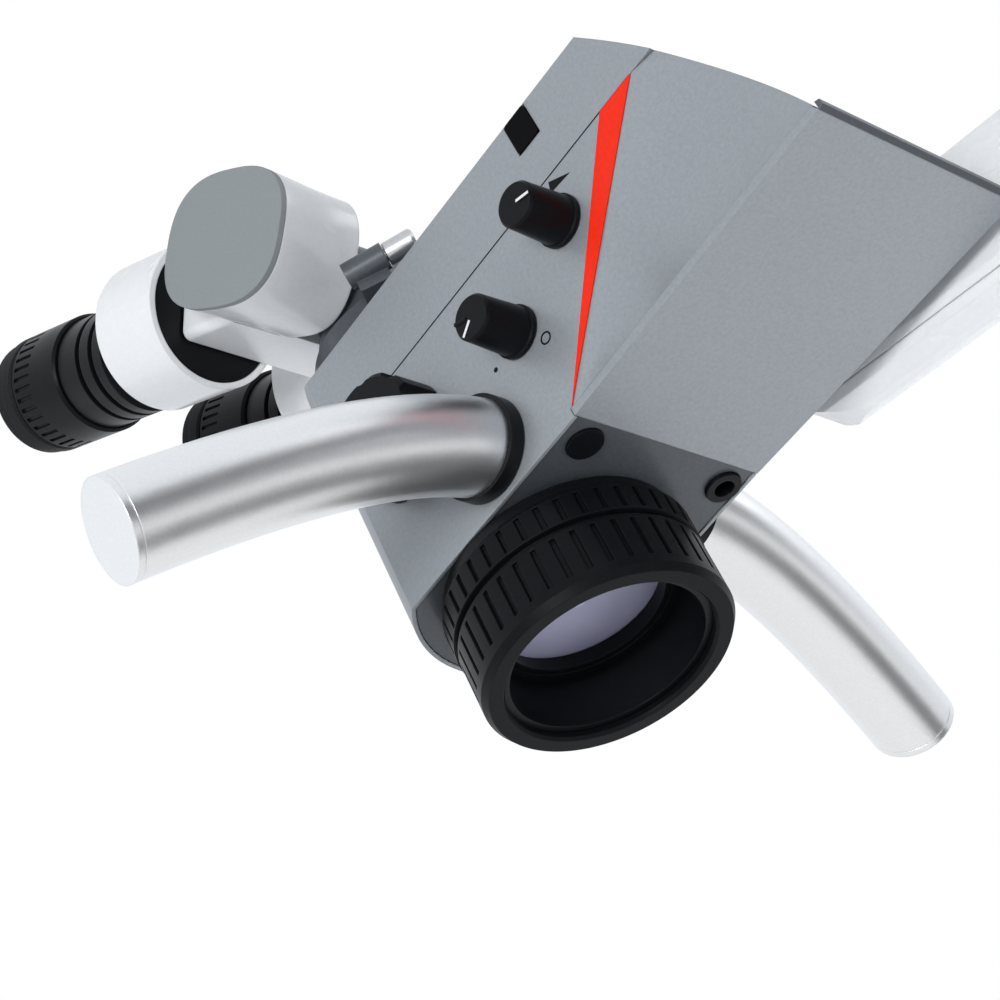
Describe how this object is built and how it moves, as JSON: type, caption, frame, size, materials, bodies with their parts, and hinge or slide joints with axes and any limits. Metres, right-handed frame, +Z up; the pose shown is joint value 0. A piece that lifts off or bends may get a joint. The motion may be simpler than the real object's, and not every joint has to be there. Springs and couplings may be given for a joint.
{
  "type": "surgical microscope",
  "caption": "Surgical microscope: wedge head with focusing objective ring, curved handles, tilting binocular tube, side control knobs and a swinging arm on a vertical spigot.",
  "frame": {"origin": "centre of the shoulder where the vertical spigot leaves its flange, at the rear end of the arm", "axes": "+Z up along the spigot, +Y forward along the arm to the operator, +X to the operator's left, away from the head"},
  "size_m": [0.31, 0.4719, 0.216],
  "materials": {
    "silver_paint": "satin metallic silver-grey paint",
    "dark_paint": "satin dark grey paint",
    "white_paint": "gloss white paint",
    "cap_grey": "fine matt light grey",
    "satin_metal": "satin anodised",
    "black_plastic": "fine matt black",
    "black_metal": "satin black anodised",
    "eyecup_rubber": "matt black",
    "stripe_red": "gloss signal red",
    "window_black": "gloss smoked black",
    "lens_glass": "coated, violet sheen",
    "guide_acrylic": "clear polished",
    "steel": "ground",
    "cast_metal": "cast, blasted",
    "bearing_brass": "turned"
  },
  "bodies": {
    "mount": {"mount_spigot": "steel", "swivel_nut": "steel"},
    "arm": {"arm_upper": "white_paint", "arm_lower": "white_paint", "arm_beam": "cast_metal", "tilt_bush": "bearing_brass", "swivel_liner": "bearing_brass"},
    "head": {"shell_lower": "silver_paint", "cover_upper": "silver_paint", "status_window": "window_black", "side_stripes": "stripe_red", "underside_plate": "dark_paint", "rear_panel": "silver_paint", "rear_lip": "dark_paint", "head_frame": "cast_metal", "pivot_block": "cast_metal", "tilt_shaft": "steel", "shaft_disc": "steel", "pivot_collar": "black_metal", "light_source": "cast_metal", "light_guide": "guide_acrylic", "light_prism": "lens_glass", "objective_tube": "black_metal", "plug_disc": "black_plastic", "socket_cup": "black_metal", "dovetail_ring": "dark_paint", "hinge_block": "dark_paint"},
    "focus": {"focus_ring": "black_plastic"},
    "lens": {"lens_cell": "black_metal", "objective_lens": "lens_glass", "lens_retainer": "black_metal"},
    "brightness": {"brightness_knob": "black_plastic"},
    "filter": {"filter_knob": "black_plastic"},
    "changer": {"changer_turret": "cast_metal", "changer_knob_left": "black_plastic", "changer_knob_right": "black_plastic"},
    "handle_left": {"grip_left": "satin_metal", "grip_cap_left": "satin_metal", "grip_collar_left": "black_metal"},
    "handle_right": {"grip_right": "satin_metal", "grip_cap_right": "satin_metal", "grip_collar_right": "black_metal"},
    "clamp": {"clamp_screw": "steel"},
    "binocular": {"drum_left": "white_paint", "drum_right": "white_paint", "drum_caps": "cap_grey", "pivot_pins": "steel", "bridge_housing": "white_paint"},
    "tube_left": {"sleeve_left": "white_paint", "sleeve_plate_left": "black_metal", "eyepiece_tube_left": "black_metal", "eye_lens_left": "lens_glass"},
    "dioptre_left": {"dioptre_ring_left": "black_plastic"},
    "eyecup_left": {"eyecup_left": "eyecup_rubber"},
    "tube_right": {"sleeve_right": "white_paint", "sleeve_plate_right": "black_metal", "eyepiece_tube_right": "black_metal", "eye_lens_right": "lens_glass"},
    "dioptre_right": {"dioptre_ring_right": "black_plastic"},
    "eyecup_right": {"eyecup_right": "eyecup_rubber"}
  },
  "joints": [
    {"name": "arm_swing", "type": "hinge", "parent": "mount", "child": "arm", "pos_m": [0, 0, 0], "axis": [0, 0, 1], "range_deg": [-150, 150]},
    {"name": "head_tilt", "type": "hinge", "parent": "arm", "child": "head", "pos_m": [-0.054, 0.2, -0.038], "axis": [1, 0, 0], "range_deg": [-40, 70]},
    {"name": "focus_turn", "type": "hinge", "parent": "head", "child": "focus", "pos_m": [-0.054, 0.27188, -0.10006], "axis": [0, 0.225, 0.9744], "range_deg": [-135, 135]},
    {"name": "lens_travel", "type": "slide", "parent": "head", "child": "lens", "axis": [0, 0.225, 0.9744], "range_m": [-0.0075, 0.0075]},
    {"name": "brightness_turn", "type": "hinge", "parent": "head", "child": "brightness", "pos_m": [-0.089, 0.21637, -0.01643], "axis": [-1, 0, 0], "range_deg": [-135, 135]},
    {"name": "filter_turn", "type": "hinge", "parent": "head", "child": "filter", "pos_m": [-0.089, 0.24055, -0.03617], "axis": [-1, 0, 0], "range_deg": [-60, 60]},
    {"name": "changer_turn", "type": "hinge", "parent": "head", "child": "changer", "pos_m": [-0.054, 0.28904, -0.04039], "axis": [1, 0, 0], "continuous": true},
    {"name": "handle_left_turn", "type": "hinge", "parent": "head", "child": "handle_left", "pos_m": [-0.054, 0.26147, -0.06071], "axis": [1, 0, 0], "range_deg": [-45, 45]},
    {"name": "handle_right_turn", "type": "hinge", "parent": "head", "child": "handle_right", "pos_m": [-0.054, 0.26147, -0.06071], "axis": [1, 0, 0], "range_deg": [-45, 45]},
    {"name": "clamp_turn", "type": "hinge", "parent": "head", "child": "clamp", "pos_m": [-0.085, 0.29086, 0.02436], "axis": [0.5, -0.8438, 0.1948], "range_deg": [0, 270]},
    {"name": "binocular_tilt", "type": "hinge", "parent": "head", "child": "binocular", "pos_m": [-0.054, 0.31612, 0.04265], "axis": [1, 0, 0], "range_deg": [-33, 45]},
    {"name": "tube_right_turn", "type": "hinge", "parent": "binocular", "child": "tube_right", "pos_m": [-0.0195, 0.36498, 0.05458], "axis": [0, 0.9397, 0.342], "range_deg": [-14, 80]},
    {"name": "tube_left_turn", "type": "hinge", "parent": "binocular", "child": "tube_left", "pos_m": [-0.0885, 0.36498, 0.05458], "axis": [0, 0.9397, 0.342], "range_deg": [-80, 14]},
    {"name": "dioptre_left_turn", "type": "hinge", "parent": "tube_left", "child": "dioptre_left", "pos_m": [-0.0915, 0.41885, 0.06738], "axis": [0, 0.9397, 0.342], "range_deg": [-110, 110]},
    {"name": "eyecup_left_slide", "type": "slide", "parent": "tube_left", "child": "eyecup_left", "axis": [0, 0.9397, 0.342], "range_m": [0, 0.005]},
    {"name": "dioptre_right_turn", "type": "hinge", "parent": "tube_right", "child": "dioptre_right", "pos_m": [-0.0165, 0.41885, 0.06738], "axis": [0, 0.9397, 0.342], "range_deg": [-110, 110]},
    {"name": "eyecup_right_slide", "type": "slide", "parent": "tube_right", "child": "eyecup_right", "axis": [0, 0.9397, 0.342], "range_m": [0, 0.005]}
  ],
  "couplings": [
    {"joint": "lens_travel", "follows": "focus_turn", "m_per_rad": 0.003183},
    {"joint": "tube_left_turn", "follows": "tube_right_turn", "ratio": -1}
  ]
}
